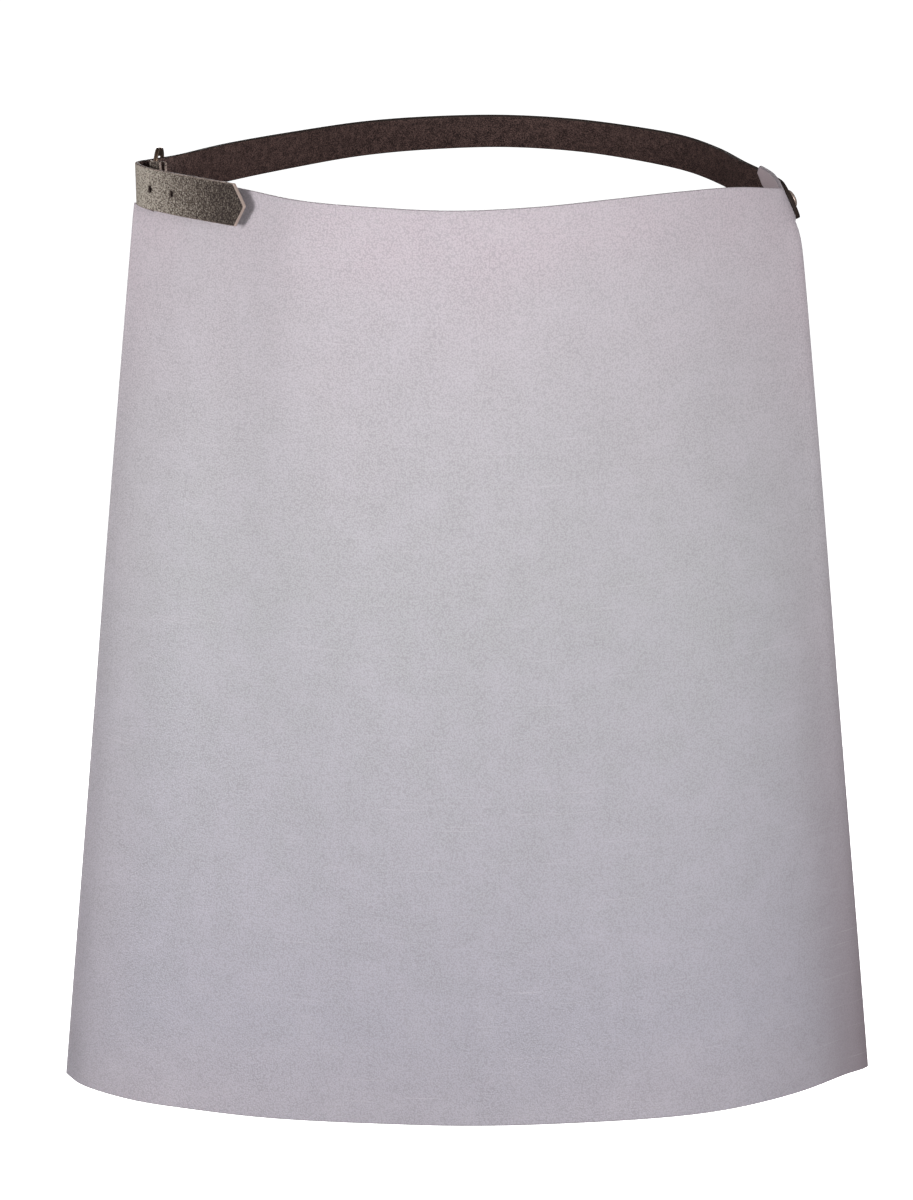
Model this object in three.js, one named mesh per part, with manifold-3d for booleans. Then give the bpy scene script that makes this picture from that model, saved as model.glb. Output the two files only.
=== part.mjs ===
// A leather waist apron, fastened: a flaring panel, a strap that goes round the back, and a small buckle.
// Millimetres, +Z up, the panel's front faces -Y. The origin is the centre of the waist loop.
import * as THREE from 'three';
import { mergeVertices } from 'three/addons/utils/BufferGeometryUtils.js';
import Module from 'manifold-3d';

const wasm = await Module();
wasm.setup();

// Driving dimensions
const GAP = 0.3; // clearance between pieces that touch
const PANEL_THICKNESS = 2;
const HEM_LEVEL = -571;
const EAR_DEPTH = 20;
const EAR_GAP = 0.6; // between the ear and the strap on it
const EAR_CLIP_LENGTH = 9; // clipped corners at the ear's end
const EAR_CLIP_DEPTH = 6;
const PULL_FADE = 28; // how far down the strap's pull on the top edge is felt
const PULL_EASE = 0.25; // rounds the bend where it ends
const STRAP_WIDTH = 25;
const STRAP_THICKNESS = 2.5;
const STRAP_END = 14; // the strap's riveted end starts this far behind the panel's side edge
const STRAP_BELOW_EAR_TOP = { front: 6.2, back: 6.6 };
const FREE_END = 81; // from the buckle's heel bar to the point
const POINT_LENGTH = 7.5;
const STRAP_RISE = 0.054; // of the strap behind the buckle, over distance
const STRAP_SLANT = 0.26; // and how it draws away from the panel's edge
const STRAP_BEHIND = [24.2, 11]; // distances behind the heel bar at which it is led straight
const WRAP_REACH = 11.5; // from the heel bar to the middle of the strap where it turns
const HOLE = { halfWidth: 1.2, halfHeight: 1.9 };
const HOLES_FROM_HEEL = [23.2, 5.4];
const BAR = 2.5; // thickness of the frame's plate and width of its bars
const FRAME_LENGTH = 22; // heel bar to outer bar, between their middles
const OUTER_BAR_ALONG = -12.4; // the frame swings inward round the heel bar until its outer bar stands here
const FRAME_MIDDLE = 0.15; // height of the frame's middle over the chape's
const FRAME_WINDOW = 27.2; // height of the opening
const FRAME_END = 5.2; // width of the frame's upper and lower ends
const FRAME_CORNER = 10;
const FRAME_WINDOW_CORNER = 1.5;
const FRAME_BEVEL = 0.7;
const HEEL_ALONG = 13.8; // middle of the heel bar, from the panel's left corner
const HEEL_DOWN = 6; // and below the panel's top edge
const CHAPE_THICKNESS = 2;
const CHAPE_WIDTH = 22;
const CHAPE_LEG = 10.5;
const CHAPE_TONGUE = { length: 3.1, width: 10 }; // at each end, under the rivet
const CHAPE_SHOULDER = 1.2; // length over which it widens from the tongue
const CHAPE_SLOT = { length: 12.5, end: 3.8, height: 3.8 }; // in the fold, for the prong
const PRONG_RADIUS = 1.1;
const PRONG_EYE_RADIUS = 3.3;
const PRONG_EYE_HALF = 1.2; // half the eye's height
const PRONG_OVERHANG = 2.5;
const RIVET_SHANK = 1.5;
const CHAPE_RIVET = { along: 6.8, headRadius: 3.2, headHeight: 1, tailRadius: 3, tailHeight: 0.9 };
const STRAP_RIVET = { along: 11, headRadius: 5.5, headHeight: 2.4, tailRadius: 3.7, tailHeight: 0.9 };
const SHOULDER_AT_CORNER = 22.4; // notch under the buckle, down from the top edge
const SHOULDER_AT_CHAPE = 24.8;

// The panel's rulings, left to right: where each leaves the top edge, where it meets the hem, and how far the
// strap pulls its top inward. The last two are in the ear.
const PANEL_RULINGS = [
  { x: -197.6, y: 9, top: 16.5, hemX: -260, hemY: -22, pull: 1.4 },
  { x: -186.5, y: 0, top: 15.4, hemX: -248, hemY: -38.5, pull: 1.2 },
  { x: -160, y: -21, top: 13, hemX: -212.5, hemY: -60.5, pull: 0.7 },
  { x: -131, y: -43, top: 10.7, hemX: -169, hemY: -73, pull: 0.2 },
  { x: -95, y: -70, top: 8, hemX: -115, hemY: -84, pull: 0 },
  { x: -55, y: -86, top: 7, hemX: -62, hemY: -91, pull: 0 },
  { x: -8, y: -92, top: 5.8, hemX: -4, hemY: -94.5, pull: 0 },
  { x: 40, y: -86, top: 7, hemX: 55.5, hemY: -92.5, pull: 0 },
  { x: 85, y: -70, top: 9, hemX: 114, hemY: -84.5, pull: 0 },
  { x: 125, y: -49, top: 9.9, hemX: 168, hemY: -70.5, pull: 0 },
  { x: 160, y: -24, top: 8.5, hemX: 216, hemY: -48, pull: 1 },
  { x: 188, y: -2, top: 4.3, hemX: 248, hemY: -24, pull: 5.2 },
  { x: 199.5, y: 9, top: 2.5, hemX: 264, hemY: -12, pull: 10 },
  { x: 197.5, y: 28, top: 8.4, hemX: 272, hemY: 12, pull: 9.8 },
  { x: 187, y: 63, top: 11.2, hemX: 268, hemY: 47, pull: 8.2 },
];
const SIDE_EDGE_RULING = 12;

// The strap's free end beyond the heel bar: distance run and height of its middle from the chape's middle.
const FREE_END_ROWS = [
  { run: 0, up: -5.2 },
  { run: 25, up: -6.7 },
  { run: 55, up: -7.6 },
  { run: FREE_END, up: -8.2 },
];
const STRAP_BEFORE_TURN = -2.7; // height of its middle where it comes to the turn

// The strap's way round the back, right to left: its middle line, and how far its top leans inward in degrees
const STRAP_BACK = [
  { x: 176.8, y: 82, z: -4.6, lean: 11 },
  { x: 163, y: 115, z: -0.4, lean: 14 },
  { x: 143, y: 145, z: 3.5, lean: 18 },
  { x: 113, y: 171, z: 6.2, lean: 23 },
  { x: 73, y: 191, z: 9, lean: 27 },
  { x: 27, y: 196, z: 11, lean: 28 },
  { x: -22, y: 181, z: 11.9, lean: 26 },
  { x: -65, y: 155, z: 12, lean: 23 },
  { x: -107, y: 114, z: 11, lean: 18 },
  { x: -150, y: 63, z: 9.6, lean: 11 },
];

const vec = (x, y, z) => new THREE.Vector3(x, y, z);

// A piece of leather bent along straight rulings, each from an upper point to a lower one. A place on it is
// given by the distance along its upper edge, the distance down the ruling and the distance out of its
// middle surface.
function bentLeather(rulings) {
  const upper = new THREE.CatmullRomCurve3(rulings.map((ruling) => ruling.upper));
  const lower = new THREE.CatmullRomCurve3(rulings.map((ruling) => ruling.lower));
  const pulls = new THREE.CatmullRomCurve3(rulings.map((ruling, i) => vec(i, ruling.pull ?? 0, 0)));
  upper.arcLengthDivisions = 1000;
  const length = upper.getLength();
  const STEP = 0.05;
  const reach = (ruling) => {
    const lengths = upper.getLengths();
    return lengths[Math.round(((lengths.length - 1) * ruling) / (rulings.length - 1))];
  };
  const curveAt = (along) => {
    const t = upper.getUtoTmapping(0, along);
    return { t, top: upper.getPoint(t), end: lower.getPoint(t) };
  };
  const drop = (along) => {
    const { top, end } = curveAt(THREE.MathUtils.clamp(along, STEP, length - STEP));
    return top.distanceTo(end);
  };
  const ruled = (along, down) => {
    const inside = THREE.MathUtils.clamp(along, STEP, length - STEP);
    const { t, top, end } = curveAt(inside);
    const point = top.clone().addScaledVector(end.sub(top).normalize(), down);
    return point.addScaledVector(upper.getTangent(t), along - inside);
  };
  const normalOf = (surface, along, down) => {
    const inside = THREE.MathUtils.clamp(along, 2 * STEP, length - 2 * STEP);
    const across = surface(inside + STEP, down).sub(surface(inside - STEP, down));
    const drawn = surface(inside, down + STEP).sub(surface(inside, down - STEP));
    return drawn.cross(across).normalize();
  };
  const pulled = (along, down) => {
    const inside = THREE.MathUtils.clamp(along, STEP, length - STEP);
    const pull = pulls.getPoint(upper.getUtoTmapping(0, inside)).y;
    const left = 1 - down / PULL_FADE;
    const inward = (pull * (left + Math.hypot(left, PULL_EASE))) / 2;
    return ruled(along, down).addScaledVector(normalOf(ruled, along, down), -inward);
  };
  const out = (along, down) => normalOf(pulled, along, down);
  const at = (along, down, outward = 0) => pulled(along, down).addScaledVector(out(along, down), outward);
  return { length, reach, drop, out, at };
}

// A slab of that leather between two distances along it. span gives how far down it starts and ends there.
function slab(leather, { from, to, span, thickness, columns, rows, crowding = 1 }) {
  const geometry = new THREE.BoxGeometry(1, 1, 1, columns, 1, rows);
  const position = geometry.attributes.position;
  for (let i = 0; i < position.count; i += 1) {
    const along = THREE.MathUtils.lerp(from, to, position.getX(i) + 0.5);
    const [start, end] = span(along);
    const down = THREE.MathUtils.lerp(start, end, (position.getZ(i) + 0.5) ** crowding);
    const place = leather.at(along, down, position.getY(i) * thickness);
    position.setXYZ(i, place.x, place.y, place.z);
  }
  return solid(geometry);
}

// Solids for joining and cutting, and back
function solid(geometry) {
  const bare = geometry.clone();
  bare.deleteAttribute('normal');
  bare.deleteAttribute('uv');
  const merged = mergeVertices(bare, 1e-4);
  const vertProperties = new Float32Array(merged.attributes.position.array);
  const triVerts = new Uint32Array(merged.index.array);
  return new wasm.Manifold(new wasm.Mesh({ numProp: 3, vertProperties, triVerts }));
}

function geometryOf(manifold) {
  const { vertProperties, triVerts } = manifold.getMesh();
  const geometry = new THREE.BufferGeometry();
  geometry.setAttribute('position', new THREE.BufferAttribute(vertProperties, 3));
  geometry.setIndex(new THREE.BufferAttribute(triVerts, 1));
  geometry.computeVertexNormals();
  return geometry;
}

function rod(start, end, radius, sides = 16) {
  const geometry = new THREE.CylinderGeometry(radius, radius, start.distanceTo(end), sides);
  const turn = new THREE.Quaternion().setFromUnitVectors(vec(0, 1, 0), end.clone().sub(start).normalize());
  geometry.applyQuaternion(turn);
  const middle = start.clone().add(end).multiplyScalar(0.5);
  return geometry.translate(middle.x, middle.y, middle.z);
}

// A hole through a piece of leather, square to its surface, round or oval
function bore(leather, along, down, halfWidth, halfHeight = halfWidth, sides = 16) {
  const REACH = 15;
  const geometry = new THREE.CylinderGeometry(1, 1, 2 * REACH, sides).scale(halfWidth, 1, halfHeight);
  const out = leather.out(along, down);
  const drawn = leather.at(along, down + 1).sub(leather.at(along, down)).normalize();
  const turn = new THREE.Matrix4().makeBasis(out.clone().cross(drawn), out, drawn);
  turn.setPosition(leather.at(along, down));
  return solid(geometry.applyMatrix4(turn));
}

// Panel
const panelLeather = bentLeather(
  PANEL_RULINGS.map(({ x, y, top, hemX, hemY, pull }) => ({
    upper: vec(x, y, top),
    lower: vec(hemX, hemY, HEM_LEVEL),
    pull,
  })),
);
const sideEdge = panelLeather.reach(SIDE_EDGE_RULING);

// The buckle's own frame: its origin on the heel bar, its axes along the panel, out of it and up
const heel = panelLeather.at(HEEL_ALONG, HEEL_DOWN);
const ahead = panelLeather
  .at(HEEL_ALONG + FREE_END / 2, HEEL_DOWN)
  .sub(heel)
  .setZ(0)
  .normalize();
const outward = panelLeather.out(HEEL_ALONG, HEEL_DOWN);
outward.addScaledVector(ahead, -outward.dot(ahead)).normalize();
const upward = outward.clone().cross(ahead);
const atBuckle = (along, out, up) =>
  heel.clone().addScaledVector(ahead, along).addScaledVector(outward, out).addScaledVector(upward, up);

// The upright free end lies this far out of the panel's middle, clear of the leaning chape's lower edge
const lean = Math.asin(outward.z);
const standOff =
  (PANEL_THICKNESS + STRAP_THICKNESS) / 2 + CHAPE_THICKNESS + 3 * GAP + (CHAPE_WIDTH / 2) * Math.sin(lean);
const outerBarOut = -Math.sqrt(FRAME_LENGTH ** 2 - OUTER_BAR_ALONG ** 2);

// Strap: over the ear, round the back, through the frame, round the heel bar and over the panel
const strapRuling = (middle) => ({
  upper: middle.clone().add(vec(0, 0, STRAP_WIDTH / 2)),
  lower: middle.clone().sub(vec(0, 0, STRAP_WIDTH / 2)),
});
const inward = outward.clone().setZ(0).normalize().negate();
const behindRulings = STRAP_BEHIND.map((run) => {
  const middle = atBuckle(STRAP_SLANT * run - WRAP_REACH, 0, STRAP_BEFORE_TURN).addScaledVector(inward, run);
  middle.z += STRAP_RISE * run;
  return strapRuling(middle);
});
const freeEndRulings = FREE_END_ROWS.map(({ run, up }) => strapRuling(atBuckle(run, standOff, up)));
const WRAP_STEPS = 5;
const wrapRulings = Array.from({ length: WRAP_STEPS }, (_, i) => {
  const turn = (i / WRAP_STEPS) * (Math.PI / 2);
  const up = THREE.MathUtils.lerp(STRAP_BEFORE_TURN, FREE_END_ROWS[0].up, i / WRAP_STEPS);
  return strapRuling(atBuckle(-WRAP_REACH * Math.cos(turn), standOff * Math.sin(turn), up));
});
const strapOffEar = PANEL_THICKNESS / 2 + EAR_GAP + STRAP_THICKNESS / 2;
const EAR_STEPS = 8;
const earRulings = Array.from({ length: EAR_STEPS + 1 }, (_, i) => {
  const along = THREE.MathUtils.lerp(sideEdge + STRAP_END, panelLeather.length, i / EAR_STEPS);
  const below = THREE.MathUtils.lerp(STRAP_BELOW_EAR_TOP.front, STRAP_BELOW_EAR_TOP.back, i / EAR_STEPS);
  const upper = panelLeather.at(along, below, strapOffEar);
  const down = panelLeather.at(along, EAR_DEPTH, strapOffEar).sub(upper).normalize();
  return { upper, lower: upper.clone().addScaledVector(down, STRAP_WIDTH) };
});
const backRulings = STRAP_BACK.map(({ x, y, z, lean }) => {
  const tilt = THREE.MathUtils.degToRad(lean);
  const inward = vec(-x, -y, 0).normalize();
  const half = inward.multiplyScalar(Math.sin(tilt)).setZ(Math.cos(tilt)).multiplyScalar(STRAP_WIDTH / 2);
  return { upper: vec(x, y, z).add(half), lower: vec(x, y, z).sub(half) };
});
const strapLeather = bentLeather([
  ...earRulings,
  ...backRulings,
  ...behindRulings,
  ...wrapRulings,
  ...freeEndRulings,
]);
const heelOnStrap = strapLeather.length - FREE_END;
const pointStart = strapLeather.length - POINT_LENGTH;
const POINT_FLAT = 0.04; // share of the width left at the very point
const strapSpan = (along) => {
  const narrowing = THREE.MathUtils.clamp((along - pointStart) / POINT_LENGTH, 0, 1) * (1 - POINT_FLAT);
  return [(narrowing * STRAP_WIDTH) / 2, STRAP_WIDTH - (narrowing * STRAP_WIDTH) / 2];
};

// Prong: from the heel bar, through the strap, onto the outer side of the outer bar
const prongRest = BAR / 2 + GAP + PRONG_RADIUS;
const barAngle = Math.atan2(outerBarOut, OUTER_BAR_ALONG);
const prongAngle = barAngle - Math.asin(prongRest / FRAME_LENGTH);
const prongReach = FRAME_LENGTH * Math.cos(prongAngle - barAngle) + PRONG_OVERHANG;
const prongAt = (distance) =>
  atBuckle(distance * Math.cos(prongAngle), distance * Math.sin(prongAngle), 0);

function apronPanel() {
  const CLEAR = 10;
  const full = slab(panelLeather, {
    from: 0,
    to: panelLeather.length,
    span: (along) => {
      const fromEnd = panelLeather.length - along;
      const clip = EAR_CLIP_DEPTH * Math.max(0, 1 - fromEnd / EAR_CLIP_LENGTH);
      return [clip, panelLeather.drop(along)];
    },
    thickness: PANEL_THICKNESS,
    columns: 84,
    rows: 10,
    crowding: 1.9,
  });
  const besideSkirt = slab(panelLeather, {
    from: sideEdge,
    to: panelLeather.length + CLEAR,
    span: (along) => {
      const fromEnd = panelLeather.length - along;
      const clip = EAR_CLIP_DEPTH * THREE.MathUtils.clamp(1 - fromEnd / EAR_CLIP_LENGTH, 0, 1);
      return [EAR_DEPTH - clip, panelLeather.drop(along) + CLEAR];
    },
    thickness: 4 * PANEL_THICKNESS,
    columns: 12,
    rows: 6,
    crowding: 1.9,
  });
  const notchEnd = HEEL_ALONG + PRONG_EYE_RADIUS + GAP;
  const notch = slab(panelLeather, {
    from: -CLEAR,
    to: notchEnd,
    span: (along) => [
      -CLEAR,
      THREE.MathUtils.mapLinear(along, 0, notchEnd, SHOULDER_AT_CORNER, SHOULDER_AT_CHAPE),
    ],
    thickness: 4 * PANEL_THICKNESS,
    columns: 4,
    rows: 4,
  });
  const rivetClear = RIVET_SHANK + GAP;
  const chapeHole = solid(
    rod(atBuckle(CHAPE_RIVET.along, -CLEAR, 0), atBuckle(CHAPE_RIVET.along, CLEAR, 0), rivetClear),
  );
  const strapHole = bore(
    strapLeather,
    STRAP_RIVET.along,
    STRAP_WIDTH / 2,
    rivetClear,
  );
  return full.subtract(besideSkirt).subtract(notch).subtract(chapeHole).subtract(strapHole);
}

function waistStrap() {
  const half = STRAP_WIDTH / 2;
  const size = { span: strapSpan, thickness: STRAP_THICKNESS, rows: 2 };
  const end = slab(strapLeather, { ...size, from: 0, to: STRAP_WIDTH, columns: 5 });
  const run = slab(strapLeather, { ...size, from: half, to: strapLeather.length, columns: 150 });
  let strap = run.add(end.intersect(bore(strapLeather, half, half, half, half, 32)));
  for (const fromHeel of HOLES_FROM_HEEL) {
    const hole = bore(strapLeather, heelOnStrap + fromHeel, STRAP_WIDTH / 2, HOLE.halfWidth, HOLE.halfHeight);
    strap = strap.subtract(hole);
  }
  strap = strap.subtract(
    bore(strapLeather, STRAP_RIVET.along, STRAP_WIDTH / 2, RIVET_SHANK + GAP),
  );
  return strap.subtract(solid(rod(prongAt(0), prongAt(prongReach), PRONG_RADIUS + GAP)));
}

// A rounded rectangle from its lower left corner, as an outline to be filled or cut out
function roundedRectangle(path, { left, bottom, width, height, corner }) {
  const right = left + width;
  const top = bottom + height;
  path.moveTo(left + corner, bottom);
  path.absarc(right - corner, bottom + corner, corner, -Math.PI / 2, 0);
  path.absarc(right - corner, top - corner, corner, 0, Math.PI / 2);
  path.absarc(left + corner, top - corner, corner, Math.PI / 2, Math.PI);
  path.absarc(left + corner, bottom + corner, corner, Math.PI, 1.5 * Math.PI);
  return path;
}

// A stamped plate with one opening, the heel bar on the local origin
function buckleFrame() {
  const plate = roundedRectangle(new THREE.Shape(), {
    left: -BAR / 2,
    bottom: FRAME_MIDDLE - FRAME_WINDOW / 2 - FRAME_END,
    width: FRAME_LENGTH + BAR,
    height: FRAME_WINDOW + 2 * FRAME_END,
    corner: FRAME_CORNER,
  });
  const opening = roundedRectangle(new THREE.Path(), {
    left: BAR / 2,
    bottom: FRAME_MIDDLE - FRAME_WINDOW / 2,
    width: FRAME_LENGTH - BAR,
    height: FRAME_WINDOW,
    corner: FRAME_WINDOW_CORNER,
  });
  plate.holes.push(opening);
  const geometry = new THREE.ExtrudeGeometry(plate, {
    depth: BAR - 2 * FRAME_BEVEL,
    curveSegments: 8,
    bevelThickness: FRAME_BEVEL,
    bevelSize: FRAME_BEVEL,
    bevelOffset: -FRAME_BEVEL,
    bevelSegments: 1,
  });
  const position = geometry.attributes.position;
  for (let i = 0; i < position.count; i += 1) {
    const inPlane = position.getX(i);
    const across = FRAME_BEVEL - BAR / 2 + position.getZ(i);
    const place = atBuckle(
      inPlane * Math.cos(barAngle) - across * Math.sin(barAngle),
      inPlane * Math.sin(barAngle) + across * Math.cos(barAngle),
      position.getY(i),
    );
    position.setXYZ(i, place.x, place.y, place.z);
  }
  return solid(geometry);
}

function buckleProng() {
  const barRun = (radius, half) =>
    solid(rod(atBuckle(0, 0, -half), atBuckle(0, 0, half), radius, 20));
  const tongue = solid(rod(prongAt(0), prongAt(prongReach), PRONG_RADIUS, 12));
  return barRun(PRONG_EYE_RADIUS, PRONG_EYE_HALF)
    .add(tongue)
    .subtract(barRun(BAR / 2 + GAP, 2 * PRONG_EYE_RADIUS));
}

function buckleChape() {
  const loop = BAR / 2 + GAP + CHAPE_THICKNESS / 2;
  const leg = PANEL_THICKNESS / 2 + GAP + CHAPE_THICKNESS / 2;
  const LOOP_STEPS = 10;
  const ruling = (along, out) => ({
    upper: atBuckle(along, out, CHAPE_WIDTH / 2),
    lower: atBuckle(along, out, -CHAPE_WIDTH / 2),
  });
  const bend = Array.from({ length: LOOP_STEPS + 1 }, (_, i) => {
    const turn = (i / LOOP_STEPS - 0.5) * Math.PI;
    return ruling(-loop * Math.cos(turn), loop * Math.sin(turn));
  });
  const leather = bentLeather([
    ruling(CHAPE_LEG, -leg),
    ruling(CHAPE_LEG / 2, -leg),
    ...bend,
    ruling(CHAPE_LEG / 2, leg),
    ruling(CHAPE_LEG, leg),
  ]);
  const folded = slab(leather, {
    from: 0,
    to: leather.length,
    span: (along) => {
      const fromEnd = Math.min(along, leather.length - along);
      const widened = THREE.MathUtils.clamp((fromEnd - CHAPE_TONGUE.length) / CHAPE_SHOULDER, 0, 1);
      const narrowing = ((CHAPE_WIDTH - CHAPE_TONGUE.width) / 2) * (1 - widened);
      return [narrowing, CHAPE_WIDTH - narrowing];
    },
    thickness: CHAPE_THICKNESS,
    columns: 36,
    rows: 1,
  });
  const slot = new THREE.BoxGeometry(CHAPE_SLOT.length, 4 * PRONG_EYE_RADIUS, CHAPE_SLOT.height);
  const position = slot.attributes.position;
  for (let i = 0; i < position.count; i += 1) {
    const along = CHAPE_SLOT.end - CHAPE_SLOT.length / 2 + position.getX(i);
    const place = atBuckle(along, position.getY(i), -position.getZ(i));
    position.setXYZ(i, place.x, place.y, place.z);
  }
  const REACH = 15;
  const rivetHole = rod(
    atBuckle(CHAPE_RIVET.along, -REACH, 0),
    atBuckle(CHAPE_RIVET.along, REACH, 0),
    RIVET_SHANK + GAP,
  );
  return folded.subtract(solid(slot)).subtract(solid(rivetHole));
}

// A rivet round the +Y axis: flat tail, shank, domed head. grip is the leather between head and tail.
function rivet({ headRadius, headHeight, tailRadius, tailHeight }, grip) {
  const half = grip / 2;
  const DOME_STEPS = 6;
  const profile = [
    new THREE.Vector2(0, -half - tailHeight),
    new THREE.Vector2(tailRadius, -half - tailHeight),
    new THREE.Vector2(tailRadius, -half),
    new THREE.Vector2(RIVET_SHANK, -half),
    new THREE.Vector2(RIVET_SHANK, half),
  ];
  for (let i = 0; i < DOME_STEPS; i += 1) {
    const turn = (i / DOME_STEPS) * (Math.PI / 2);
    profile.push(new THREE.Vector2(headRadius * Math.cos(turn), half + headHeight * Math.sin(turn)));
  }
  profile.push(new THREE.Vector2(0, half + headHeight));
  return new THREE.LatheGeometry(profile, 24);
}

function seatRivet(mesh, middle, out) {
  mesh.position.copy(middle);
  mesh.quaternion.setFromUnitVectors(vec(0, 1, 0), out);
  return mesh;
}

// Materials
const greyLeather = new THREE.MeshStandardMaterial({ color: 0xbdb6bc, roughness: 0.75, metalness: 0 });
const darkLeather = new THREE.MeshStandardMaterial({ color: 0x3d3534, roughness: 0.85, metalness: 0 });
const brownMetal = new THREE.MeshStandardMaterial({ color: 0x83705f, roughness: 0.4, metalness: 1 });
const paleMetal = new THREE.MeshStandardMaterial({ color: 0xc2b0a6, roughness: 0.35, metalness: 1 });

// Assembly
const apron = new THREE.Group();
function add(name, geometry, material) {
  const mesh = new THREE.Mesh(geometry, material);
  mesh.name = name;
  apron.add(mesh);
  return mesh;
}

add('apron_panel', geometryOf(apronPanel()), greyLeather);
add('waist_strap', geometryOf(waistStrap()), darkLeather);
add('buckle_frame', geometryOf(buckleFrame()), brownMetal);
add('buckle_prong', geometryOf(buckleProng()), brownMetal);
add('buckle_chape', geometryOf(buckleChape()), darkLeather);

const chapeGrip = PANEL_THICKNESS + 2 * CHAPE_THICKNESS + 4 * GAP;
seatRivet(
  add('chape_rivet', rivet(CHAPE_RIVET, chapeGrip), paleMetal),
  atBuckle(CHAPE_RIVET.along, 0, 0),
  outward,
);

const strapGrip = PANEL_THICKNESS + STRAP_THICKNESS + EAR_GAP + 4 * GAP;
const strapRivetDown = STRAP_WIDTH / 2;
const betweenStrapAndEar = -(PANEL_THICKNESS + EAR_GAP + GAP) / 2;
seatRivet(
  add('strap_rivet', rivet(STRAP_RIVET, strapGrip), paleMetal),
  strapLeather.at(STRAP_RIVET.along, strapRivetDown, betweenStrapAndEar),
  strapLeather.out(STRAP_RIVET.along, strapRivetDown),
);

export default apron;
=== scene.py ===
"""The looks of a leather waist apron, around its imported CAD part. Metres, +Z up, the panel's front to -Y."""

import math

import bpy
import numpy as np
from mathutils import Matrix, Vector
from mathutils.kdtree import KDTree


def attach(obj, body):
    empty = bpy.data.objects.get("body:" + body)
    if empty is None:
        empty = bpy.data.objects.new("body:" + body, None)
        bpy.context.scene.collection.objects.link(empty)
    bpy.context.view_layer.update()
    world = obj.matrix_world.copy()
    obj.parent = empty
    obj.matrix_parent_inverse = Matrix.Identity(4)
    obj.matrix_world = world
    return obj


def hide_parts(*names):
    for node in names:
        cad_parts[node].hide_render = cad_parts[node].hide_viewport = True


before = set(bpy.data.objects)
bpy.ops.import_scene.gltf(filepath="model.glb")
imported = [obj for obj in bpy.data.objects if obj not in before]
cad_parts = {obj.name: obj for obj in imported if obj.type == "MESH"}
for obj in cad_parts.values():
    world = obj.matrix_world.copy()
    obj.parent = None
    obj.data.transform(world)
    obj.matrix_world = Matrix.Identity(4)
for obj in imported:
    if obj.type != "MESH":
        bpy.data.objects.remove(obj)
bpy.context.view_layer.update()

# Camera
# A long lens on the photograph's view: a little above the waist, tipped down on the apron's front.
CAMERA_PLACE = (-0.0057, -1.6954, 0.2735)
CAMERA_TIP = math.radians(17.3)


def add_object(name, data):
    """A new object in the scene, with the given mesh, camera or lamp."""
    made = bpy.data.objects.new(name, data)
    bpy.context.scene.collection.objects.link(made)
    return made


camera_data = bpy.data.cameras.new("studio_camera")
camera_data.sensor_fit = "VERTICAL"
camera_data.sensor_height = 36
camera_data.lens = 85
camera = add_object("studio_camera", camera_data)
camera.location = CAMERA_PLACE
camera.rotation_euler = (math.pi / 2 - CAMERA_TIP, 0, 0)
bpy.context.scene.camera = camera

# Apron panel
# One flaring sheet of pale grey chrome leather, cut by knife from a side of hide, grain side out.
# It bends round the waist along straight lines from top edge to hem. Its right ear carries the strap,
# and its upper left corner is notched for the buckle.
MM = 0.001
GAP = 0.3
PANEL_THICKNESS = 2
HEM_LEVEL = -571
EAR_DEPTH = 20
EAR_CLIP_LENGTH = 9
EAR_CLIP_DEPTH = 6
PULL_FADE = 28
PULL_EASE = 0.25
HEEL_ALONG = 13.8
HEEL_DOWN = 6
PRONG_EYE_RADIUS = 3.3
SHOULDER_AT_CORNER = 22.4
SHOULDER_AT_CHAPE = 24.8
CUT_ROUNDING = 0.5
ROUNDING_ROOM = 0.4  # of the shortest side of the faces beside a cut edge
ROUND_STEPS = 3
SUPPORT = 1.3  # the first line of faces inside a cut edge, so that its rounding stays narrow

# x, y and top of each line where it leaves the top edge, hem_x and hem_y where it meets the hem,
# and how far the strap pulls its top inward
PANEL_RULINGS = np.array(
    [
        (-197.6, 9, 16.5, -260, -22, 1.4),
        (-186.5, 0, 15.4, -248, -38.5, 1.2),
        (-160, -21, 13, -212.5, -60.5, 0.7),
        (-131, -43, 10.7, -169, -73, 0.2),
        (-95, -70, 8, -115, -84, 0),
        (-55, -86, 7, -62, -91, 0),
        (-8, -92, 5.8, -4, -94.5, 0),
        (40, -86, 7, 55.5, -92.5, 0),
        (85, -70, 9, 114, -84.5, 0),
        (125, -49, 9.9, 168, -70.5, 0),
        (160, -24, 8.5, 216, -48, 1),
        (188, -2, 4.3, 248, -24, 5.2),
        (199.5, 9, 2.5, 264, -12, 10),
        (197.5, 28, 8.4, 272, 12, 9.8),
        (187, 63, 11.2, 268, 47, 8.2),
    ],
    dtype=float,
)
SIDE_EDGE_RULING = 12


def unit(vectors):
    return vectors / np.linalg.norm(vectors, axis=-1, keepdims=True)


def smooth_curve(points, share):
    """Places on a centripetal Catmull-Rom curve through points, at shares that are equal for each span."""
    spans = len(points) - 1
    around = np.vstack([2 * points[0] - points[1], points, 2 * points[-1] - points[-2]])
    place = np.clip(share, 0, 1) * spans
    first = np.minimum(place.astype(int), spans - 1)
    w = (place - first)[:, None]
    p0, p1, p2, p3 = (around[first + k] for k in range(4))
    d0, d1, d2 = (
        np.sqrt(np.linalg.norm(b - a, axis=1))[:, None] for a, b in ((p0, p1), (p1, p2), (p2, p3))
    )
    m1 = ((p1 - p0) / d0 - (p2 - p0) / (d0 + d1) + (p2 - p1) / d1) * d1
    m2 = ((p2 - p1) / d1 - (p3 - p1) / (d1 + d2) + (p3 - p2) / d2) * d1
    return p1 + m1 * w + (3 * (p2 - p1) - 2 * m1 - m2) * w**2 + (2 * (p1 - p2) + m1 + m2) * w**3


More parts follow.
